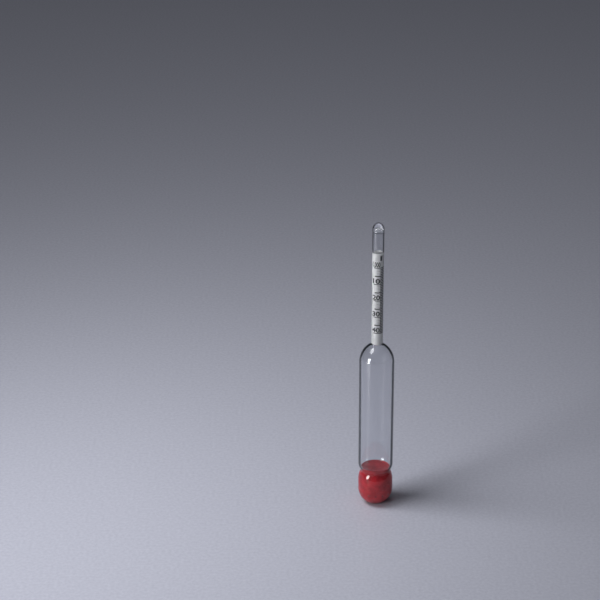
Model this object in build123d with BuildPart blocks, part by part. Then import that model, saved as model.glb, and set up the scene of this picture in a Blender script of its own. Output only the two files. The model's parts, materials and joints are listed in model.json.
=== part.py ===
from build123d import *
from math import asin, atan2, cos, degrees, floor, pi, sin, sqrt
import os

# Hydrometer: a sealed glass float that stands on the flattened end of its ballast bulb.
# Millimetres. The origin is the middle of the foot, and +Z runs up the axis to the tip of the stem.

# Glass, outside
overall_length = 115.0
stem_diameter = 4.3
body_diameter = 13.0
waist_depth = 1.05
foot_diameter = 5.2
waist_height = 13.7
shoulder_height = 59.3
shoulder_radius = 8.5
neck_radius = 0.7
body_end_radius = 5.2
waist_radius = 0.6
bulb_shoulder_radius = 7.9
tip_rise = 2.4

# Glass, wall
stem_wall = 0.45
body_wall = 0.7
bulb_wall = 0.7
foot_wall = 0.6
tip_wall = 2.0

# Paper scale: a rolled strip
paper_thickness = 0.12
paper_above_neck = 0.2
paper_below_tip = 9.4
paper_seam_gap = 0.02
paper_overlap_degrees = 60.0
paper_clearance = 0.04

# Ballast: wax that fills the bulb and the waist, and shot set in it
wax_clearance = 0.02
wax_rim_above_waist = 1.2
meniscus_radius = 10.0
shot_diameter = 2.0
shot_spacing = 0.05
shot_cover = 0.16
shot_clearance = 0.02
pit_width = 1.1
pit_depth = 0.6
pit_taper = 15.0

# Half of each diameter. The bulb is blown from the same tube as the body and is just as wide.
stem_r = stem_diameter / 2
body_r = body_diameter / 2
bulb_r = body_r
waist_r = body_r - waist_depth
foot_r = foot_diameter / 2
shot_r = shot_diameter / 2

# The ballast bulb is a ball cut flat at the foot, so its middle is a little lower than its radius.
bulb_centre_height = sqrt(bulb_r**2 - foot_r**2)
bore_top = overall_length - tip_wall


def rise_between(round_x, round_arc, hollow_x, hollow_arc):
    """How far in height the middle of a hollow arc lies from that of the outward arc it runs into."""
    return sqrt((round_arc + hollow_arc) ** 2 - (hollow_x - round_x) ** 2)


def neck_arcs(body_in, stem_in):
    """The shoulder's arc and the neck's hollow arc: the middle of each across, its radius, and their rise."""
    dome_arc = shoulder_radius - body_in
    dome_x = body_r - shoulder_radius
    flare_arc = neck_radius + stem_in
    flare_x = stem_r + neck_radius
    return dome_x, dome_arc, flare_x, rise_between(dome_x, dome_arc, flare_x, flare_arc)


def glass_curve(bulb_in, body_in, stem_in, foot_height, tip_height):
    """Draws one side of the envelope, from the axis at the foot up to the axis at the tip.

    The first three sizes are how far inside the outer surface the curve lies, so zeros give the outside.
    """
    ball = bulb_r - bulb_in
    barrel = body_r - body_in
    rod = stem_r - stem_in

    # An arc that bulges outward is smaller on the inside of the glass, and a hollow one is larger.
    bulb_arc = bulb_shoulder_radius - bulb_in
    pinch_arc = waist_radius + bulb_in
    end_arc = body_end_radius - body_in

    # Foot and bulb: a ball cut flat below, with an upright side above its middle
    flat_turn = degrees(asin((bulb_centre_height - foot_height) / ball))
    bulb_side = CenterArc((0, bulb_centre_height), ball, -flat_turn, flat_turn)
    Line((0, foot_height), bulb_side @ 0)

    # Waist: a hollow curve that runs into the bulb's arc below it and the body's arc above it
    pinch_x = waist_r - bulb_in + pinch_arc
    below_x = ball - bulb_arc
    below_rise = rise_between(below_x, bulb_arc, pinch_x, pinch_arc)
    below_turn = degrees(atan2(below_rise, pinch_x - below_x))
    above_x = barrel - end_arc
    above_rise = rise_between(above_x, end_arc, pinch_x, pinch_arc)
    above_turn = degrees(atan2(above_rise, pinch_x - above_x))
    bulb_side_top = waist_height - below_rise
    body_foot = waist_height + above_rise
    Line((ball, bulb_centre_height), (ball, bulb_side_top))
    into_waist = CenterArc((below_x, bulb_side_top), bulb_arc, 0, below_turn)
    out_of_waist = CenterArc((above_x, body_foot), end_arc, -above_turn, above_turn)
    Spline(into_waist @ 1, out_of_waist @ 0, tangents=(into_waist % 1, out_of_waist % 0))
    Line((barrel, body_foot), (barrel, shoulder_height))

    # Neck: a hollow curve from the shoulder's arc into the stem
    dome_x, dome_arc, flare_x, neck_rise = neck_arcs(body_in, stem_in)
    neck_turn = degrees(atan2(neck_rise, flare_x - dome_x))
    stem_foot = shoulder_height + neck_rise
    shoulder = CenterArc((dome_x, shoulder_height), dome_arc, 0, neck_turn)
    Spline(shoulder @ 1, (rod, stem_foot), tangents=(shoulder % 1, (0, 1)))

    # Stem and tip
    rise = tip_rise * rod / stem_r
    Line((rod, stem_foot), (rod, tip_height - rise))
    Spline((rod, tip_height - rise), (0, tip_height), tangents=((0, 1), (-1, 0)))
    Line((0, tip_height), (0, foot_height))


# Glass envelope: one blown shell, closed at the tip
with BuildPart() as glass_envelope:
    with BuildSketch(Plane.XZ):
        with BuildLine():
            glass_curve(0, 0, 0, 0, overall_length)
        make_face()
        with BuildLine():
            glass_curve(bulb_wall, body_wall, stem_wall, foot_wall, bore_top)
        make_face(mode=Mode.SUBTRACT)
    revolve(axis=Axis.Z)

# Paper scale: the strip goes a little more than once round, with its loose edge outside
seam_step = paper_thickness + paper_seam_gap
roll_r = stem_r - stem_wall - paper_clearance - paper_thickness - seam_step

# It starts just above the neck, where the bore of the stem becomes straight
*_, bore_neck_rise = neck_arcs(body_wall, stem_wall)
paper_foot_height = shoulder_height + bore_neck_rise + paper_above_neck

with BuildPart() as paper_scale:
    with BuildSketch(Plane.XY.offset(paper_foot_height)):
        with BuildLine():
            inside_start = CenterArc((0, 0), roll_r, 0, 180)
            CenterArc((seam_step / 2, 0), roll_r + seam_step / 2, 180, 180)
            inside_end = CenterArc((0, 0), roll_r + seam_step, 0, paper_overlap_degrees)
            outside_start = CenterArc((0, 0), roll_r + paper_thickness, 0, 180)
            CenterArc((seam_step / 2, 0), roll_r + paper_thickness + seam_step / 2, 180, 180)
            outside_end = CenterArc((0, 0), roll_r + paper_thickness + seam_step, 0, paper_overlap_degrees)
            Line(inside_start @ 0, outside_start @ 0)
            Line(inside_end @ 1, outside_end @ 1)
        make_face()
    extrude(amount=bore_top - paper_below_tip - paper_foot_height)

# Shot: nested shells of equal balls, in level rings from the lowest point of each shell up to its middle
shot_step = shot_diameter + shot_spacing
outer_shell_r = bulb_r - bulb_wall - wax_clearance - shot_cover - shot_r
shell_centre_height = foot_wall + wax_clearance + shot_cover + shot_r + outer_shell_r


def facing_out(shell_r, polar, turn):
    """A place on a shell, its Z away from the shell's middle. Polar is 0 at the lowest point."""
    outward = Vector(sin(polar) * cos(turn), sin(polar) * sin(turn), -cos(polar))
    middle = Vector(0, 0, shell_centre_height)
    return Plane(origin=middle + outward * shell_r, x_dir=(-sin(turn), cos(turn), 0), z_dir=outward)


def rings_below_middle(shell_r):
    """How many rings of shot a shell holds between its lowest point and the level of its middle."""
    return floor(pi / 2 / (2 * asin(shot_step / 2 / shell_r)))


def shot_in_ring(ring_r):
    """How many shot stand side by side in a ring of this radius."""
    return floor(pi / asin(shot_step / 2 / ring_r)) if ring_r > shot_step / 2 else 1


def ball_with_flats(ball_r):
    """A ball with 26 flat faces, its corners on a round one of this radius."""
    edge = ball_r * 2 / sqrt(5 + 2 * sqrt(2))
    width = edge * (1 + sqrt(2))
    with BuildPart() as ball:
        Box(width, width, width)
        chamfer(ball.edges(), edge / sqrt(2))
    return ball.part


shot_places = []
shell_r = outer_shell_r
while shell_r > shot_step / sqrt(2):
    rings = rings_below_middle(shell_r)
    for ring in range(rings + 1):
        polar = pi / 2 * ring / rings
        count = shot_in_ring(shell_r * sin(polar))
        shot_places += [facing_out(shell_r, polar, 2 * pi * place / count) for place in range(count)]
    shell_r -= shot_step
if shell_r >= 0:
    shot_places.append(facing_out(0, 0, 0))

with BuildPart() as lead_shot:
    with Locations(*shot_places):
        add(ball_with_flats(shot_r))

# Wax: follows the inside of the glass up to a hollow surface, with a pocket round every shot
waist_bore_r = waist_r - bulb_wall
meniscus_height = waist_height + wax_rim_above_waist + sqrt(meniscus_radius**2 - waist_bore_r**2)

# Pits: three-cornered gaps at the glass, above and below the top ring of shot, where no shot touches
top_count = shot_in_ring(outer_shell_r)
half_ring = pi / 4 / rings_below_middle(outer_shell_r)
pit_start_r = bulb_r - bulb_wall + shot_cover
pits = [(pi / 2 + half_ring, -90), (pi / 2 - half_ring, 90)]

with BuildPart() as red_wax:
    with BuildSketch(Plane.XZ):
        with BuildLine():
            glass_curve(
                bulb_wall + wax_clearance,
                body_wall + wax_clearance,
                stem_wall + wax_clearance,
                foot_wall + wax_clearance,
                bore_top - wax_clearance,
            )
        make_face()
        with BuildLine():
            turn = degrees(asin(body_r / meniscus_radius))
            surface = CenterArc((0, meniscus_height), meniscus_radius, -90, turn)
            Polyline(surface @ 1, (body_r, 0), (0, 0), surface @ 0)
        make_face(mode=Mode.INTERSECT)
    revolve(axis=Axis.Z)
    with Locations(*shot_places):
        add(ball_with_flats(shot_r + shot_clearance), mode=Mode.SUBTRACT)
    for polar, corner_turn in pits:
        turns = [2 * pi * (place + 1 / 2) / top_count for place in range(top_count)]
        with BuildSketch(*[facing_out(pit_start_r, polar, turn) for turn in turns]):
            RegularPolygon(radius=pit_width / 2, side_count=3, rotation=corner_turn)
        extrude(amount=-pit_depth - shot_cover, taper=pit_taper, mode=Mode.SUBTRACT)

# Each piece is written by itself
glass_envelope.part.label = "glass_envelope"
paper_scale.part.label = "paper_scale"
lead_shot.part.label = "lead_shot"
red_wax.part.label = "red_wax"

os.makedirs("parts", exist_ok=True)
export_step(glass_envelope.part, "parts/glass_envelope.step")
export_step(paper_scale.part, "parts/paper_scale.step")
export_step(lead_shot.part, "parts/lead_shot.step")
export_step(red_wax.part, "parts/red_wax.step")
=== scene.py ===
"""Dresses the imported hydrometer: clear blown glass, a printed paper scale, and shot set in red wax."""

import json
import logging
import math
from collections.abc import Iterator
from contextlib import contextmanager
from dataclasses import dataclass
from enum import Enum

import bpy
from mathutils import Matrix, Vector

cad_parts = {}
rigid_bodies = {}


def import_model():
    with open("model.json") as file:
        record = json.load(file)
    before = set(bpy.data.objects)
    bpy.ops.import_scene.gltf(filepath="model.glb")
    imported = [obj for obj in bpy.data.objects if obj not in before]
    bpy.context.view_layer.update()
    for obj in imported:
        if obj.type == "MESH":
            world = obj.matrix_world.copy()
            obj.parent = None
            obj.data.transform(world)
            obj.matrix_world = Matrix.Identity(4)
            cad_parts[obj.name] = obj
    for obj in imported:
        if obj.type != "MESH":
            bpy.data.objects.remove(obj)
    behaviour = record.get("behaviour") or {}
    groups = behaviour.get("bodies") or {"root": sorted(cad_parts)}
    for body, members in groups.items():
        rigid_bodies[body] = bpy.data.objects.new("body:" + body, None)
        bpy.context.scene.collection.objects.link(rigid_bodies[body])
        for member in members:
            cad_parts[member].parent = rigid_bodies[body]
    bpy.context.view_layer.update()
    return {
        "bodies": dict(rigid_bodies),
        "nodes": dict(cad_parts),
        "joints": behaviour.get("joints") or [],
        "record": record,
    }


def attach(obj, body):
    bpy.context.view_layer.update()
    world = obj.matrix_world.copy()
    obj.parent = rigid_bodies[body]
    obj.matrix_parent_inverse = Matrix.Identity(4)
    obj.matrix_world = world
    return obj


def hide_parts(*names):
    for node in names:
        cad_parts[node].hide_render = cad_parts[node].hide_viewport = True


LOG = logging.getLogger("hydrometer")

# A millimetre in metres, how near corners lie that are one corner, and the bend that counts as an edge
MM = 0.001
WELD_MM = 0.002
CREASE_DEGREES = 40.0

AXIS = (0.0, 0.0, 1.0)
SMOOTH_STEP = {"interpolation_type": "SMOOTHSTEP"}

Point = tuple[float, float, float]
Colour = tuple[float, float, float, float]
Settings = dict[str, object]
Inputs = dict[str | int, object]


class Node(Enum):
    """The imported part's nodes."""

    GLASS = "glass_envelope"
    PAPER = "paper_scale"
    WAX = "red_wax"
    SHOT = "lead_shot"


class Slot(Enum):
    """The record's material slots that new pieces use."""

    GLASS = "glass"
    PAPER = "paper"
    WAX = "wax"


# Colours and shader nodes


def linear(hex_colour: str) -> Colour:
    """Turns an sRGB hex colour into the linear colour that a shader takes.

    Args:
        hex_colour: six hex digits, such as "c0c0c0".

    Returns:
        Red, green, blue and an alpha of 1.
    """
    parts = [int(hex_colour[i : i + 2], 16) / 255 for i in (0, 2, 4)]
    # The sRGB standard's curve: straight near black, and a power above
    shades = [c / 12.92 if c <= 0.04045 else ((c + 0.055) / 1.055) ** 2.4 for c in parts]
    return (*shades, 1.0)


def set_inputs(owner: bpy.types.Material | bpy.types.World, node: bpy.types.Node, inputs: Inputs) -> None:
    """Fills a node's sockets.

    Args:
        owner: the material or the world that the node belongs to.
        node: the node.
        inputs: a value or another node's output for each socket.
    """
    for name, value in inputs.items():
        if isinstance(value, bpy.types.NodeSocket):
            owner.node_tree.links.new(value, node.inputs[name])
        else:
            node.inputs[name].default_value = value


def add_node(
    owner: bpy.types.Material | bpy.types.World,
    kind: str,
    settings: Settings | None = None,
    inputs: Inputs | None = None,
) -> bpy.types.Node:
    """Adds one shader node, with its settings, its values and its links.

    Args:
        owner: the material or the world that it belongs to.
        kind: the node's type name in Blender.
        settings: the node's own properties.
        inputs: a value or another node's output for each of its sockets.

    Returns:
        The new node.
    """
    node = owner.node_tree.nodes.new(kind)
    for name, value in (settings or {}).items():
        setattr(node, name, value)
    set_inputs(owner, node, inputs or {})
    return node


def noise(
    material: bpy.types.Material, place: bpy.types.NodeSocket, size_mm: float, inputs: Inputs | None = None
) -> bpy.types.NodeSocket:
    """Adds a cloudy pattern.

    Args:
        material: what it belongs to.
        place: the coordinates that it reads.
        size_mm: about how wide its patches are.
        inputs: its other sockets.

    Returns:
        Its strength, from 0 to 1.
    """
    values = {"Vector": place, "Scale": 1 / (size_mm * MM), **(inputs or {})}
    return add_node(material, "ShaderNodeTexNoise", inputs=values).outputs["Fac"]


def stretched(
    material: bpy.types.Material, place: bpy.types.NodeSocket, along: float
) -> bpy.types.NodeSocket:
    """Scales coordinates along the hydrometer's axis.

    Args:
        material: what the node belongs to.
        place: the coordinates.
        along: the scale. Less than 1 draws a pattern out, and more than 1 flattens it.

    Returns:
        The new coordinates.
    """
    values = {"Vector": place, "Scale": (1.0, 1.0, along)}
    return add_node(material, "ShaderNodeMapping", inputs=values).outputs["Vector"]


def map_range(
    owner: bpy.types.Material | bpy.types.World, inputs: Inputs, settings: Settings | None = None
) -> bpy.types.NodeSocket:
    """Turns one range of values into another.

    Args:
        owner: the material or the world that the node belongs to.
        inputs: the value and both ranges. A range that isn't named runs from 0 to 1.
        settings: the node's own properties.

    Returns:
        The new value.
    """
    return add_node(owner, "ShaderNodeMapRange", settings, inputs).outputs[0]


def multiply(
    material: bpy.types.Material, first: bpy.types.NodeSocket, second: bpy.types.NodeSocket
) -> bpy.types.NodeSocket:
    """Gives the product of two values."""
    node = add_node(material, "ShaderNodeMath", {"operation": "MULTIPLY"}, {0: first, 1: second})
    return node.outputs["Value"]


def colour_ramp(
    material: bpy.types.Material, factor: bpy.types.NodeSocket, stops: list[tuple[float, str | float]]
) -> bpy.types.NodeSocket:
    """Turns a factor into a colour.

    Args:
        material: what the ramp belongs to.
        factor: the socket that drives it.
        stops: each place from 0 to 1 with its sRGB hex colour, or with a plain share of white.

    Returns:
        The ramp's colour.
    """
    ramp = add_node(material, "ShaderNodeValToRGB", inputs={"Fac": factor})
    elements = ramp.color_ramp.elements
    while len(elements) < len(stops):
        elements.new(1.0)
    for element, (place, shade) in zip(elements, stops, strict=True):
        element.position = place
        element.color = linear(shade) if isinstance(shade, str) else (shade, shade, shade, 1.0)
    return ramp.outputs["Color"]


def roughen(
    material: bpy.types.Material,
    shader: bpy.types.Node,
    height: bpy.types.NodeSocket,
    depth_mm: float,
    strength: float,
    settings: Settings | None = None,
) -> None:
    """Makes light fall on a smooth surface as if a pattern stood out from it.

    Args:
        material: what the nodes belong to.
        shader: the material's shader.
        height: the pattern.
        depth_mm: how far it stands out.
        strength: how much of it counts, from 0 to 1.
        settings: the bump node's own properties.
    """
    values = {"Height": height, "Distance": depth_mm * MM, "Strength": strength}
    bump = add_node(material, "ShaderNodeBump", settings, values)
    set_inputs(material, shader, {"Normal": bump.outputs["Normal"]})


def blank_material(name: str) -> tuple[bpy.types.Material, bpy.types.Node, bpy.types.NodeSocket]:
    """Makes a material with a Principled shader.

    Args:
        name: what the real material is called.

    Returns:
        The material, its shader, and the object's own coordinates.
    """
    material = bpy.data.materials.new(name)
    material.use_nodes = True
    shader = material.node_tree.nodes["Principled BSDF"]
    place = add_node(material, "ShaderNodeTexCoord")
    return material, shader, place.outputs["Object"]


# Finishes


@dataclass(frozen=True)
class BlownGlass:
    """Soda-lime tube, drawn and blown in a flame.

    Its face is fire-polished, so highlights are sharp, and very slightly wavy, so their edges wander.
    """

    ior: float = 1.52
    roughness: float = 0.0
    clear: str = "f4f5f7"
    edge: str = "0b0e12"
    wave_mm: float = 6.0
    wave_along: float = 0.3
    wave_detail: float = 1.0
    wave_depth_mm: float = 0.004
    wave_strength: float = 1.0

    # How far the wall turns from the eye before its painted edge shade starts, and where that painted shade
    # is full. The body's limits run into the stem's along the neck.
    slant_blend: float = 0.5
    body_slant: tuple[float, float] = (0.52, 0.6)
    stem_slant: tuple[float, float] = (0.4, 0.5)
    neck_mm: tuple[float, float] = (62.0, 67.0)

    # How much of the painted edge shade shows at each height: none over wax, and little over paper
    length_mm: float = 115.0
    air_behind: tuple[tuple[float, float], ...] = (
        (14.4, 0.0),
        (15.6, 1.0),
        (66.8, 1.0),
        (67.2, 0.3),
        (103.4, 0.3),
        (103.8, 1.0),
    )

    def shader(self, name: str) -> tuple[bpy.types.Material, bpy.types.Node, bpy.types.NodeSocket]:
        """Makes plain clear glass with a slow wave along the tube.

        Args:
            name: what the material is called.

        Returns:
            The material, its shader, and the object's own coordinates.
        """
        material, shader, place = blank_material(name)
        drawn_out = stretched(material, place, self.wave_along)
        wave = noise(material, drawn_out, self.wave_mm, {"Detail": self.wave_detail})
        roughen(material, shader, wave, self.wave_depth_mm, self.wave_strength)
        finish = {
            "Base Color": linear(self.clear),
            "Transmission Weight": 1.0,
            "Roughness": self.roughness,
            "IOR": self.ior,
        }
        set_inputs(material, shader, finish)
        return material, shader, place

    def bore(self) -> bpy.types.Material:
        """The inside of the tube: plain clear glass."""
        return self.shader("fire_polished_bore")[0]

    def outside(self) -> bpy.types.Material:
        """The outside of the tube: painted shade along both sides, where in glass the air behind turns light
        aside.
        """
        material, shader, place = self.shader("fire_polished_soda_glass")
        height = add_node(material, "ShaderNodeSeparateXYZ", inputs={"Vector": place}).outputs["Z"]
        slant = add_node(material, "ShaderNodeLayerWeight", inputs={"Blend": self.slant_blend})
        neck_foot, neck_top = (end * MM for end in self.neck_mm)
        neck = {"Value": height, "From Min": neck_foot, "From Max": neck_top}
        starts, ends = (
            map_range(material, {**neck, "To Min": on_body, "To Max": on_stem})
            for on_body, on_stem in zip(self.body_slant, self.stem_slant, strict=True)
        )
        turned = {"Value": slant.outputs["Facing"], "From Min": starts, "From Max": ends}
        side = map_range(material, turned, SMOOTH_STEP)
        share = map_range(material, {"Value": height, "From Max": self.length_mm * MM})
        air = colour_ramp(material, share, [(up / self.length_mm, much) for up, much in self.air_behind])
        # Painted shade: the base colour darkens toward a near-black tint where the wall slants from the eye
        dark = multiply(material, side, air)
        painted_edge_tint = colour_ramp(material, dark, [(0.0, self.clear), (1.0, self.edge)])
        set_inputs(material, shader, {"Base Color": painted_edge_tint})
        return material


@dataclass(frozen=True)
class RolledPaper:
    """Uncoated white label paper: matt, a little yellowed, with short fibres that show as faint flecks."""

    pale: str = "f5f5f4"
    dark: str = "e9e9e6"
    dark_at: float = 0.45
    pale_at: float = 0.85
    fibre_mm: float = 0.35
    fibre_along: float = 2.2
    fibre_detail: float = 4.0
    fibre_roughness: float = 0.7
    fibre_share: float = 0.5
    stain_mm: float = 9.0
    tooth_mm: float = 0.01
    tooth_strength: float = 0.6
    roughness: float = 0.85
    ior: float = 1.45

    def material(self) -> bpy.types.Material:
        """Matt paper with fibres across the roll and slow patches of age."""
        material, shader, place = blank_material("uncoated_label_paper")
        flattened = stretched(material, place, self.fibre_along)
        texture = {"Detail": self.fibre_detail, "Roughness": self.fibre_roughness}
        fibre = noise(material, flattened, self.fibre_mm, texture)
        stain = noise(material, place, self.stain_mm)
        sum_of_both = {0: fibre, 1: self.fibre_share, 2: stain}
        both = add_node(material, "ShaderNodeMath", {"operation": "MULTIPLY_ADD"}, sum_of_both)
        stops = [(self.dark_at, self.dark), (self.pale_at, self.pale)]
        colour = colour_ramp(material, both.outputs["Value"], stops)
        roughen(material, shader, fibre, self.tooth_mm, self.tooth_strength)
        set_inputs(material, shader, {"Base Color": colour, "Roughness": self.roughness, "IOR": self.ior})
        return material


@dataclass(frozen=True)
class PrintersInk:
    """Black letterpress ink that has soaked a little into the paper, so it is uneven and not quite black."""

    full: str = "0c0d0e"
    thin: str = "222324"
    full_at: float = 0.4
    thin_at: float = 0.75
    mottle_mm: float = 0.18
    mottle_detail: float = 3.0
    roughness: float = 0.6

    def material(self) -> bpy.types.Material:
        """Ink with small mottled patches where the paper shows through."""
        material, shader, place = blank_material("letterpress_ink")
        mottle = noise(material, place, self.mottle_mm, {"Detail": self.mottle_detail})
        colour = colour_ramp(material, mottle, [(self.full_at, self.full), (self.thin_at, self.thin)])
        set_inputs(material, shader, {"Base Color": colour, "Roughness": self.roughness})
        return material


@dataclass(frozen=True)
class SealingWax:
    """Red sealing wax, melted in and set: deep red, a little cloudy, and lumpy over the shot."""

    bright: str = "d8303a"
    deep: str = "b81e2a"
    pit: str = "16030a"
    deep_at: float = 0.32
    bright_at: float = 0.62
    cloud_mm: float = 2.6
    cloud_detail: float = 3.0
    cloud_distortion: float = 0.4
    lump_mm: float = 2.1
    lump_smoothness: float = 0.6
    lump_depth_mm: float = 0.12
    lump_strength: float = 0.8

    # Lumps and pits start below the first height and are full after the fade. A pit's painted shade darkens
    # inward, between its outer and its inner distance from the middle of the bulb.
    lumps_below_mm: float = 8.2
    lumps_fade_mm: float = 1.5
    pit_from_mm: float = 5.45
    pit_to_mm: float = 5.7

    roughness: float = 0.32
    ior: float = 1.45
    specular: float = 0.3
    scatter: float = 0.15
    scatter_colour: Point = (1.0, 0.18, 0.12)
    scatter_mm: float = 0.8

    def material(self, centre_height: float) -> bpy.types.Material:
        """Cloudy red wax, with lumps where shot lies under it and painted shade in the pits between them.

        Args:
            centre_height: how high the middle of the bulb is, in metres.

        Returns:
            The material.
        """
        material, shader, place = blank_material("red_sealing_wax")
        texture = {"Detail": self.cloud_detail, "Distortion": self.cloud_distortion}
        cloud = noise(material, place, self.cloud_mm, texture)
        wax = colour_ramp(material, cloud, [(self.deep_at, self.deep), (self.bright_at, self.bright)])

        ends = {0: place, 1: (0.0, 0.0, centre_height)}
        from_middle = add_node(material, "ShaderNodeVectorMath", {"operation": "DISTANCE"}, ends)
        height = add_node(material, "ShaderNodeSeparateXYZ", inputs={"Vector": place})
        fade = {
            "Value": height.outputs["Z"],
            "From Min": self.lumps_below_mm * MM,
            "From Max": (self.lumps_below_mm - self.lumps_fade_mm) * MM,
        }
        low = map_range(material, fade, SMOOTH_STEP)
        # Painted shade: the pits' hollows turn near black, by their depth toward the middle of the bulb
        depth = {
            "Value": from_middle.outputs["Value"],
            "From Min": self.pit_to_mm * MM,
            "From Max": self.pit_from_mm * MM,
        }
        pit_shade_mask = multiply(material, map_range(material, depth, SMOOTH_STEP), low)
        # The mix node's sockets 6 and 7 are its two colours, and its output 2 is the mixed one
        mixed = {"Factor": pit_shade_mask, 6: wax, 7: linear(self.pit)}
        colour = add_node(material, "ShaderNodeMix", {"data_type": "RGBA"}, mixed).outputs[2]

        cells = {"Vector": place, "Scale": 1 / (self.lump_mm * MM), "Smoothness": self.lump_smoothness}
        lump = add_node(material, "ShaderNodeTexVoronoi", {"feature": "SMOOTH_F1"}, cells)
        risen = multiply(material, lump.outputs["Distance"], low)
        roughen(material, shader, risen, self.lump_depth_mm, self.lump_strength, {"invert": True})
        finish = {
            "Base Color": colour,
            "Roughness": self.roughness,
            "IOR": self.ior,
            "Specular IOR Level": self.specular,
            "Subsurface Weight": self.scatter,
            "Subsurface Radius": self.scatter_colour,
            "Subsurface Scale": self.scatter_mm * MM,
        }
        set_inputs(material, shader, finish)
        return material


@dataclass(frozen=True)
class DullLead:
    """Cast lead shot, tarnished to a dull blue grey, shinier where the tarnish is thin."""

    pale: str = "7c8086"
    dark: str = "4a4d52"
    dark_at: float = 0.35
    pale_at: float = 0.65
    tarnish_mm: float = 0.8
    tarnish_detail: float = 4.0
    rough_where_dark: float = 0.65
    rough_where_pale: float = 0.45

    def material(self) -> bpy.types.Material:
        """Tarnished metal with small patches of oxide."""
        material, shader, place = blank_material("tarnished_lead")
        tarnish = noise(material, place, self.tarnish_mm, {"Detail": self.tarnish_detail})
        colour = colour_ramp(material, tarnish, [(self.dark_at, self.dark), (self.pale_at, self.pale)])
        sheen = {"Value": tarnish, "To Min": self.rough_where_dark, "To Max": self.rough_where_pale}
        dull = map_range(material, sheen)
        set_inputs(material, shader, {"Base Color": colour, "Roughness": dull, "Metallic": 1.0})
        return material


@dataclass(frozen=True)
class BenchTop:
    """Pale grey laminate with a fine grain and a low sheen."""

    pale: str = "c9cbd9"
    dark: str = "bdbfce"
    dark_at: float = 0.3
    pale_at: float = 0.7
    grain_mm: float = 1.2
    grain_detail: float = 3.0
    roughness: float = 0.38
    ior: float = 1.45

    def material(self) -> bpy.types.Material:
        """The plain pale surface that the hydrometer stands on."""
        material, shader, place = blank_material("pale_laminate")
        grain = noise(material, place, self.grain_mm, {"Detail": self.grain_detail})
        colour = colour_ramp(material, grain, [(self.dark_at, self.dark), (self.pale_at, self.pale)])
        set_inputs(material, shader, {"Base Color": colour, "Roughness": self.roughness, "IOR": self.ior})
        return material


# Modelling steps


def pick(piece: bpy.types.Object) -> None:
    """Makes one object the only selected and the active one."""
    bpy.ops.object.select_all(action="DESELECT")
    piece.select_set(True)
    bpy.context.view_layer.objects.active = piece


@contextmanager
def editing(piece: bpy.types.Object) -> Iterator[None]:
    """Opens an object in edit mode with all of it selected, and closes it afterwards."""
    pick(piece)
    bpy.ops.object.mode_set(mode="EDIT")
    bpy.ops.mesh.select_all(action="SELECT")
    yield
    bpy.ops.object.mode_set(mode="OBJECT")


def weld(piece: bpy.types.Object) -> None:
    """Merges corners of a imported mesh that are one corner, and drops the normals stored with them."""
    with editing(piece):
        bpy.ops.mesh.remove_doubles(threshold=WELD_MM * MM)
        bpy.ops.mesh.customdata_custom_splitnormals_clear()


def smooth(piece: bpy.types.Object, crease_degrees: float = CREASE_DEGREES) -> None:
    """Shades an object smooth, apart from its sharp edges.

    Args:
        piece: the object.
        crease_degrees: the bend from which an edge stays sharp.
    """
    pick(piece)
    bpy.ops.object.shade_smooth_by_angle(angle=math.radians(crease_degrees))


def apply_modifier(piece: bpy.types.Object, kind: str, settings: Settings) -> None:
    """Adds a modifier with its settings and applies it.

    Args:
        piece: the object that it changes.
        kind: the modifier's type name in Blender.
        settings: its properties.
    """
    pick(piece)
    modifier = piece.modifiers.new(kind.lower(), kind)
    for name, value in settings.items():
        setattr(modifier, name, value)
    bpy.ops.object.modifier_apply(modifier=modifier.name)


def settle(piece: bpy.types.Object) -> None:
    """Puts an object's place into its mesh, so the object itself sits at the origin."""
    pick(piece)
    bpy.ops.object.transform_apply(location=True, rotation=True, scale=True)


def dress(piece: bpy.types.Object, material: bpy.types.Material) -> None:
    """Gives an object one material on its material slots."""
    if not piece.material_slots:
        piece.data.materials.append(material)
    for place in piece.material_slots:
        place.material = material


def put(name: str, data: bpy.types.ID) -> bpy.types.Object:
    """Puts a new object in the scene.

    Args:
        name: what it is called.
        data: its mesh, curve, lamp or camera.

    Returns:
        The object.
    """
    piece = bpy.data.objects.new(name, data)
    bpy.context.scene.collection.objects.link(piece)
    return piece


def join(pieces: list[bpy.types.Object], name: str) -> bpy.types.Object:
    """Joins objects into one.

    Args:
        pieces: the objects.
        name: what the joined object is called.

    Returns:
        The joined object.
    """
    pick(pieces[0])
    for piece in pieces:
        piece.select_set(True)
    bpy.ops.object.join()
    joined = bpy.context.active_object
    joined.name = joined.data.name = name
    return joined


# Sub-assemblies


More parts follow.
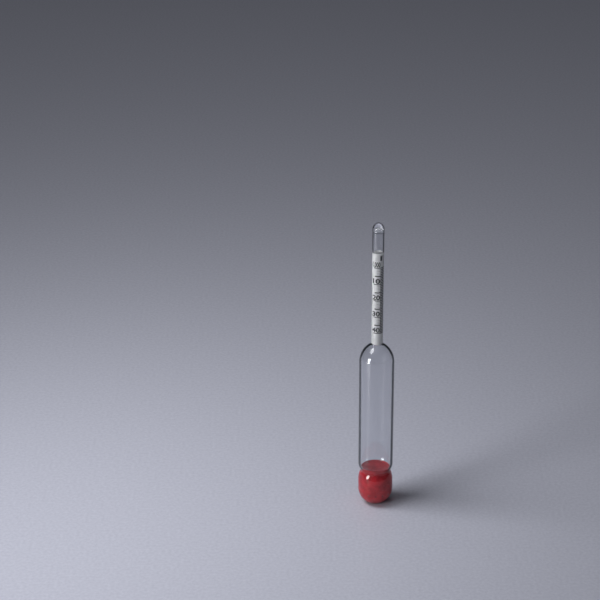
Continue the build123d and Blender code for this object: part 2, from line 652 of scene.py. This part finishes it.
@dataclass
class GlassEnvelope:
    """The blown shell: bulb, waist, body and stem. Sizes are in millimetres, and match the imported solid."""

    finish: BlownGlass = BlownGlass()
    length: float = 115.0
    stem_radius: float = 2.15
    body_radius: float = 6.5
    waist_depth: float = 1.05
    foot_radius: float = 2.6
    waist_height: float = 13.7
    shoulder_height: float = 59.3
    shoulder_radius: float = 8.5
    neck_radius: float = 0.7
    body_end_radius: float = 5.2
    waist_radius: float = 0.6
    bulb_shoulder_radius: float = 7.9
    tip_rise: float = 2.4
    stem_wall: float = 0.45
    body_wall: float = 0.7
    foot_wall: float = 0.6
    tip_wall: float = 2.0
    steps_round: int = 160
    steps_per_curve: int = 14

    def arc(self, middle: tuple[float, float], radius: float, start: float, end: float) -> list[Vector]:
        """Points along an arc in the plane of the outline.

        Args:
            middle: where its middle is, across and up.
            radius: its radius.
            start: the angle that it starts at, in radians above the level.
            end: the angle that it ends at.

        Returns:
            Its points, ends included.
        """
        across, up = middle
        steps = self.steps_per_curve
        turns = [start + (end - start) * step / steps for step in range(steps + 1)]
        return [Vector((across + radius * math.cos(t), up + radius * math.sin(t))) for t in turns]

    def blend(self, start: Vector, heading: Vector, end: Vector, arriving: Vector) -> list[Vector]:
        """Points along a smooth curve between two points.

        Args:
            start: where it starts.
            heading: its direction there.
            end: where it ends.
            arriving: its direction there.

        Returns:
            Its points, ends left out.
        """
        reach = (end - start).length / 3
        points = []
        for step in range(1, self.steps_per_curve):
            t = step / self.steps_per_curve
            points.append(
                (1 - t) ** 3 * start
                + 3 * (1 - t) ** 2 * t * (start + heading.normalized() * reach)
                + 3 * (1 - t) * t**2 * (end - arriving.normalized() * reach)
                + t**3 * end
            )
        return points

    def outline(self, wall_in: float, stem_in: float, foot: float, top: float) -> list[Vector]:
        """One side of the shell, from the axis at the foot up to the axis at the tip.

        Args:
            wall_in: how far inside the outer surface the bulb and the body are drawn.
            stem_in: how far inside the stem is drawn.
            foot: how high the flat foot is.
            top: how high the top is.

        Returns:
            Points in the plane of the outline, across and up.
        """
        # Foot and bulb
        wide = self.body_radius - wall_in
        thin = self.stem_radius - stem_in
        centre = math.sqrt(self.body_radius**2 - self.foot_radius**2)
        points = [Vector((0.0, foot))]
        points += self.arc((0.0, centre), wide, -math.asin((centre - foot) / wide), 0.0)

        # Waist, between the bulb's arc and the body's
        waist_x = self.body_radius - self.waist_depth + self.waist_radius
        bulb_arc = self.bulb_shoulder_radius - wall_in
        pinch_arc = self.waist_radius + wall_in
        end_arc = self.body_end_radius - wall_in
        below_x, above_x = wide - bulb_arc, wide - end_arc
        below = math.sqrt((bulb_arc + pinch_arc) ** 2 - (waist_x - below_x) ** 2)
        above = math.sqrt((end_arc + pinch_arc) ** 2 - (waist_x - above_x) ** 2)
        below_turn = math.atan2(below, waist_x - below_x)
        above_turn = math.atan2(above, waist_x - above_x)
        into = self.arc((below_x, self.waist_height - below), bulb_arc, 0.0, below_turn)
        out = self.arc((above_x, self.waist_height + above), end_arc, -above_turn, 0.0)
        points += into
        points += self.blend(into[-1], into[-1] - into[-2], out[0], out[1] - out[0])
        points += out

        # Shoulder and neck
        dome_arc = self.shoulder_radius - wall_in
        dome_x = self.body_radius - self.shoulder_radius
        flare_x = self.stem_radius + self.neck_radius
        rise = math.sqrt((dome_arc + self.neck_radius + stem_in) ** 2 - (flare_x - dome_x) ** 2)
        dome = self.arc((dome_x, self.shoulder_height), dome_arc, 0.0, math.atan2(rise, flare_x - dome_x))
        points += dome
        stem_foot = Vector((thin, self.shoulder_height + rise))
        upward = Vector((0.0, 1.0))
        points += self.blend(dome[-1], dome[-1] - dome[-2], stem_foot, upward)
        points.append(stem_foot)

        # Stem and tip
        tip_foot = Vector((thin, top - self.tip_rise * thin / self.stem_radius))
        tip = Vector((0.0, top))
        points.append(tip_foot)
        points += self.blend(tip_foot, upward, tip, Vector((-1.0, 0.0)))
        points.append(tip)
        return points

    def blow(self, points: list[Vector], material: bpy.types.Material) -> bpy.types.Object:
        """Turns an outline once round the axis.

        Args:
            points: the outline.
            material: its finish.

        Returns:
            A closed surface that faces outward.
        """
        mesh = bpy.data.meshes.new("outline")
        places = [(p.x * MM, 0.0, p.y * MM) for p in points]
        mesh.from_pydata(places, [(i, i + 1) for i in range(len(places) - 1)], [])
        shell = put("outline", mesh)
        with editing(shell):
            bpy.ops.mesh.spin(steps=self.steps_round, angle=2 * math.pi, center=(0.0, 0.0, 0.0), axis=AXIS)
            bpy.ops.mesh.select_all(action="SELECT")
            bpy.ops.mesh.remove_doubles(threshold=WELD_MM * MM)
            bpy.ops.mesh.normals_make_consistent(inside=False)
        dress(shell, material)
        return shell

    def build(self) -> None:
        """Blows the shell and hollows it."""
        outer = self.outline(0.0, 0.0, 0.0, self.length)
        inner = self.outline(self.body_wall, self.stem_wall, self.foot_wall, self.length - self.tip_wall)
        outside = self.blow(outer, self.finish.outside())
        bore = self.blow(inner, self.finish.bore())
        with editing(bore):
            bpy.ops.mesh.flip_normals()
        shell = join([outside, bore], "blown_shell")
        smooth(shell)
        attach(shell, "root")
        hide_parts(Node.GLASS.value)
        LOG.info("built %s", shell.name)


@dataclass
class PaperScale:
    """The rolled paper in the stem and the scale printed on it. Sizes are in millimetres."""

    finish: RolledPaper = RolledPaper()
    ink: PrintersInk = PrintersInk()

    # The roll starts under its own lap, then springs out against the bore over the step
    paper_foot: float = 67.02
    paper_top: float = 103.6
    roll_radius: float = 1.712
    paper_thickness: float = 0.12
    lap_gap: float = 0.02
    lap_degrees: float = 60.0
    step_degrees: float = 100.0
    degrees_per_point: float = 3.0
    crease_degrees: float = 30.0

    # The print: how thick the ink stands, and how narrow its cuts are, so that it can follow the roll
    ink_depth: float = 0.014
    cut_width: float = 0.15

    # The scale: an upright line, a tooth to its right at each unit, and a line to its left, which starts
    # further out at each half and at each number
    top_line_height: float = 98.0
    unit: float = 0.655
    units: int = 40
    units_per_half: int = 5
    units_per_number: int = 10
    spine_at: float = 0.94
    spine_line: float = 0.14
    unit_reach: float = 1.45
    unit_line: float = 0.36
    fine_from: float = -0.45
    fine_line: float = 0.07
    half_from: float = -1.1
    half_line: float = 0.42
    whole_from: float = -1.5
    whole_line: float = 0.3

    # The numbers, all as wide and as tall as each other
    top_number: str = "1.000"
    number_middle: float = -0.6
    number_width: float = 2.75
    number_height: float = 2.0
    number_above_line: float = 0.3
    number_weight: float = 0.035

    # The bold mark above the scale
    mark_from: float = 0.67
    mark_to: float = 1.38
    mark_height: float = 101.7
    mark_length: float = 1.9

    def strip(self) -> bpy.types.Object:
        """Rolls the strip up. It starts under its own lap and then springs out against the bore.

        Returns:
            The rolled paper.
        """
        line = bpy.data.curves.new("paper_roll", "CURVE")
        line.dimensions = "2D"
        line.extrude = (self.paper_top - self.paper_foot) / 2 * MM
        all_round = 360 + self.lap_degrees
        points = math.ceil(all_round / self.degrees_per_point)
        spline = line.splines.new("POLY")
        spline.points.add(points)
        lap_step = self.paper_thickness + self.lap_gap
        for number, point in enumerate(spline.points):
            turn = all_round * number / points
            sprung = min(max((turn - self.lap_degrees) / self.step_degrees, 0.0), 1.0)
            sprung = sprung * sprung * (3 - 2 * sprung)
            radius = (self.roll_radius - self.paper_thickness / 2 - lap_step * (1 - sprung)) * MM
            angle = math.radians(turn)
            point.co = (radius * math.cos(angle), radius * math.sin(angle), 0.0, 1.0)
        roll = put("paper_roll", line)
        roll.location.z = (self.paper_top + self.paper_foot) / 2 * MM
        pick(roll)
        bpy.ops.object.convert(target="MESH")
        roll = bpy.context.active_object
        settle(roll)
        apply_modifier(roll, "SOLIDIFY", {"thickness": self.paper_thickness * MM, "offset": 0.0})
        smooth(roll, self.crease_degrees)
        return roll

    def line(self, left: float, right: float, height: float, width: float) -> bpy.types.Object:
        """Rules one line on the flat strip.

        Args:
            left: where it starts, along the strip.
            right: where it ends.
            height: how high its middle is on the standing hydrometer.
            width: how thick it is printed.

        Returns:
            A flat strip that faces away from the roll.
        """
        cuts = max(1, round((right - left) / self.cut_width))
        bpy.ops.mesh.primitive_grid_add(
            x_subdivisions=cuts,
            y_subdivisions=1,
            size=1.0,
            location=((left + right) / 2 * MM, 0.0, height * MM),
            rotation=(math.pi / 2, 0.0, 0.0),
        )
        strip = bpy.context.active_object
        strip.scale = ((right - left) * MM, width * MM, 1.0)
        settle(strip)
        return strip

    def number(self, text: str, height: float) -> bpy.types.Object:
        """Sets one number on the flat strip, as wide and as tall as every other.

        Args:
            text: its digits.
            height: how high its foot is on the standing hydrometer.

        Returns:
            The number as a flat mesh, cut into narrow strips so that it can follow the roll.
        """
        bpy.ops.object.text_add(location=(0.0, 0.0, 0.0))
        words = bpy.context.active_object
        words.data.body = text
        words.data.align_x = "CENTER"
        words.data.offset = self.number_weight
        pick(words)
        bpy.ops.object.convert(target="MESH")
        words = bpy.context.active_object
        across = [v.co.x for v in words.data.vertices]
        up = [v.co.y for v in words.data.vertices]
        grow_x = self.number_width * MM / (max(across) - min(across))
        grow_y = self.number_height * MM / (max(up) - min(up))
        middle = (max(across) + min(across)) / 2 * grow_x
        words.scale = (grow_x, grow_y, 1.0)
        words.rotation_euler = (math.pi / 2, 0.0, 0.0)
        words.location = (self.number_middle * MM - middle, 0.0, height * MM - min(up) * grow_y)
        settle(words)
        cuts = math.ceil(self.number_width / self.cut_width)
        with editing(words):
            for cut in range(1, cuts):
                bpy.ops.mesh.select_all(action="SELECT")
                at = (self.number_middle + self.number_width * (cut / cuts - 0.5)) * MM
                bpy.ops.mesh.bisect(plane_co=(at, 0.0, 0.0), plane_no=(1.0, 0.0, 0.0))
        return words

    def wrap(self, ink: bpy.types.Object) -> None:
        """Gives a flat print its thickness and wraps it round the paper.

        Args:
            ink: the joined print, flat, with x = 0 at the front of the roll.
        """
        apply_modifier(ink, "SOLIDIFY", {"thickness": self.ink_depth * MM, "offset": 1.0})
        ends = [v.co.x for v in ink.data.vertices]
        radius = self.roll_radius * MM
        middle = (max(ends) + min(ends)) / 2
        turn = (max(ends) - min(ends)) / radius
        ink.data.transform(Matrix.Translation((-middle, 0.0, 0.0)))
        apply_modifier(ink, "SIMPLE_DEFORM", {"deform_method": "BEND", "deform_axis": "Z", "angle": turn})
        ink.data.transform(Matrix.Translation((0.0, -radius, 0.0)))
        ink.data.transform(Matrix.Rotation(middle / radius, 4, "Z"))
        ink.data.update()

    def build(self) -> None:
        """Rolls the paper and prints its scale."""
        roll = self.strip()
        dress(roll, self.finish.material())
        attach(roll, "root")
        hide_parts(Node.PAPER.value)
        LOG.info("built %s", roll.name)

        foot = self.top_line_height - self.units * self.unit
        middle = (foot + self.top_line_height) / 2
        half = self.spine_line / 2
        lines = [
            self.line(self.spine_at - half, self.spine_at + half, middle, self.top_line_height - foot),
            self.line(self.mark_from, self.mark_to, self.mark_height, self.mark_length),
        ]
        numbers = []
        for count in range(self.units + 1):
            height = self.top_line_height - count * self.unit
            lines.append(self.line(self.spine_at, self.spine_at + self.unit_reach, height, self.unit_line))
            if count % self.units_per_number == 0:
                start, width = self.whole_from, self.whole_line
                text = str(count) if count else self.top_number
                numbers.append(self.number(text, height + self.number_above_line))
            elif count % self.units_per_half == 0:
                start, width = self.half_from, self.half_line
            else:
                start, width = self.fine_from, self.fine_line
            lines.append(self.line(start, self.spine_at, height, width))
        black = self.ink.material()
        for pieces, name in ((lines, "scale_lines"), (numbers, "scale_numbers")):
            ink = join(pieces, name)
            self.wrap(ink)
            dress(ink, black)
            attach(ink, "root")
            LOG.info("built %s", name)


@dataclass
class Ballast:
    """The wax that fills the bulb, and the shot buried in it. Sizes are in millimetres."""

    wax: SealingWax = SealingWax()
    shot: DullLead = DullLead()
    bulb_centre_height: float = 5.96

    # The fill is grown from the middle of the bulb until it wets the glass
    wetting_growth: float = 1.008
    foot_growth: float = 1.006

    # Its upper surface leans down to the back, by this much for each millimetre away from the front
    lean: float = 0.06
    lean_from: float = 12.6
    lean_to: float = 13.6
    waist_radius: float = 4.75

    # The skirt stands a little higher at the front
    skirt_foot: float = 14.3
    skirt_top: float = 15.4
    skirt_tilt: float = 0.12
    skirt_thickness: float = 0.17
    skirt_wetting: float = 0.02

    def fill(self, frame: dict) -> bpy.types.Object:
        """Makes the wax that wets the glass, grown a little from the middle of the bulb.


        Returns:
            The wax in the bulb and the waist.
        """
        fill = put("wax_fill", frame["nodes"][Node.WAX.value].data.copy())
        middle = Vector((0.0, 0.0, self.bulb_centre_height * MM))
        grow = Matrix.Diagonal((self.wetting_growth, self.wetting_growth, self.foot_growth, 1.0))
        fill.data.transform(Matrix.Translation(middle) @ grow @ Matrix.Translation(-middle))
        for v in fill.data.vertices:
            share = min(max((v.co.z / MM - self.lean_from) / (self.lean_to - self.lean_from), 0.0), 1.0)
            v.co.z -= self.lean * share * (v.co.y + self.waist_radius * MM)
        weld(fill)
        smooth(fill)
        return fill

    def skirt(self, frame: dict) -> bpy.types.Object:
        """Makes the thin skirt of wax that climbed the wall of the waist before it set.


        Returns:
            The skirt, which follows the inside of the glass.
        """
        wall = put("wax_skirt", frame["nodes"][Node.GLASS.value].data.copy())
        weld(wall)
        foot, top = (0.0, 0.0, self.skirt_foot * MM), (0.0, 0.0, self.skirt_top * MM)
        with editing(wall):
            bpy.ops.mesh.bisect(plane_co=foot, plane_no=AXIS, clear_inner=True)
            bpy.ops.mesh.select_all(action="SELECT")
            bpy.ops.mesh.bisect(plane_co=top, plane_no=(0.0, self.skirt_tilt, 1.0), clear_outer=True)
            bpy.ops.mesh.separate(type="LOOSE")
        # Of the two bands that are left, the bore's is the narrower one
        bands = sorted(bpy.context.selected_objects, key=lambda band: max(v.co.x for v in band.data.vertices))
        skirt, *others = bands
        for band in others:
            bpy.data.objects.remove(band)
        skirt.name = skirt.data.name = "wax_skirt"
        offset = 1 - 2 * self.skirt_wetting / self.skirt_thickness
        apply_modifier(skirt, "SOLIDIFY", {"thickness": self.skirt_thickness * MM, "offset": offset})
        smooth(skirt)
        return skirt

    def build(self, frame: dict) -> None:
        """Dresses the shot and makes the wax.
        """
        dress(frame["nodes"][Node.SHOT.value], self.shot.material())
        LOG.info("dressed %s", Node.SHOT.value)
        wax = self.wax.material(self.bulb_centre_height * MM)
        for piece in (self.fill(frame), self.skirt(frame)):
            piece.data.materials.clear()
            dress(piece, wax)
            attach(piece, "root")
            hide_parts(Node.WAX.value)
            LOG.info("built %s", piece.name)


@dataclass(frozen=True)
class Lamp:
    """One soft box that points at the hydrometer. Its place and its size are in metres."""

    name: str
    place: Point
    size: tuple[float, float]
    watts: float
    mirrored: bool = False
    aim: Point = (0.0, 0.0, 0.05)

    def hang(self) -> None:
        """Puts the lamp in the scene. It shows as a highlight only if it is mirrored."""
        data = bpy.data.lights.new(self.name, "AREA")
        data.shape = "RECTANGLE"
        data.size, data.size_y = self.size
        data.energy = self.watts
        lamp = put(self.name, data)
        lamp.location = self.place
        toward = Vector(self.aim) - Vector(self.place)
        lamp.rotation_euler = toward.to_track_quat("-Z", "Y").to_euler()
        lamp.visible_glossy = self.mirrored


@dataclass
class Studio:
    """Bench, lamps, room and camera. Sizes are in metres unless a name says otherwise."""

    bench: BenchTop = BenchTop()
    bench_width: float = 4.0
    lamps: tuple[Lamp, ...] = (
        Lamp("window", (-0.42, -0.27, 0.12), (0.15, 0.22), 1.5, mirrored=True),
        Lamp("overhead", (-0.15, -0.02, 0.26), (0.12, 0.12), 0.45),
        Lamp("ceiling", (-0.3, -0.1, 1.3), (1.2, 1.2), 3.5),
    )
    room_colour: str = "b9bdc9"
    room_strength: float = 0.5
    room_glow: float = 0.06
    camera_place: Point = (-0.0282, -0.6725, 0.4054)
    camera_down_degrees: float = 25.5
    camera_roll_degrees: float = -0.3
    lens_mm: float = 123.0
    sensor_mm: float = 36.0

    def room(self) -> bpy.types.World:
        """The room: pale where the camera sees it, straight or through glass, but dim as a lamp."""
        world = bpy.data.worlds.new("studio")
        world.use_nodes = True
        path = add_node(world, "ShaderNodeLightPath")
        either = {0: path.outputs["Is Camera Ray"], 1: path.outputs["Is Transmission Ray"]}
        seen = add_node(world, "ShaderNodeMath", {"operation": "MAXIMUM"}, either).outputs["Value"]
        strength = map_range(world, {"Value": seen, "To Min": self.room_glow, "To Max": self.room_strength})
        background = world.node_tree.nodes["Background"]
        set_inputs(world, background, {"Color": linear(self.room_colour), "Strength": strength})
        return world

    def camera(self) -> bpy.types.Object:
        """The camera, at the photograph's place and angle."""
        data = bpy.data.cameras.new("camera")
        data.lens, data.sensor_width = self.lens_mm, self.sensor_mm
        camera = put("camera", data)
        tilt = Matrix.Rotation(math.radians(90 - self.camera_down_degrees), 4, "X")
        roll = Matrix.Rotation(math.radians(self.camera_roll_degrees), 4, "Z")
        camera.matrix_world = Matrix.Translation(self.camera_place) @ tilt @ roll
        return camera

    def build(self) -> None:
        """Sets the bench, the lamps, the room and the camera."""
        bpy.ops.mesh.primitive_plane_add(size=self.bench_width, location=(0.0, 0.0, 0.0))
        bench = bpy.context.active_object
        bench.name = "bench"
        dress(bench, self.bench.material())

        for lamp in self.lamps:
            lamp.hang()
        scene = bpy.context.scene
        scene.world = self.room()
        scene.camera = self.camera()
        scene.view_settings.view_transform = "Standard"


def main() -> None:
    """Loads the frame and builds each sub-assembly."""
    logging.basicConfig(level=logging.INFO, format="%(name)s: %(message)s")
    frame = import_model()
    GlassEnvelope().build()
    PaperScale().build()
    Ballast().build(frame)
    Studio().build()


if __name__ == "__main__":
    main()
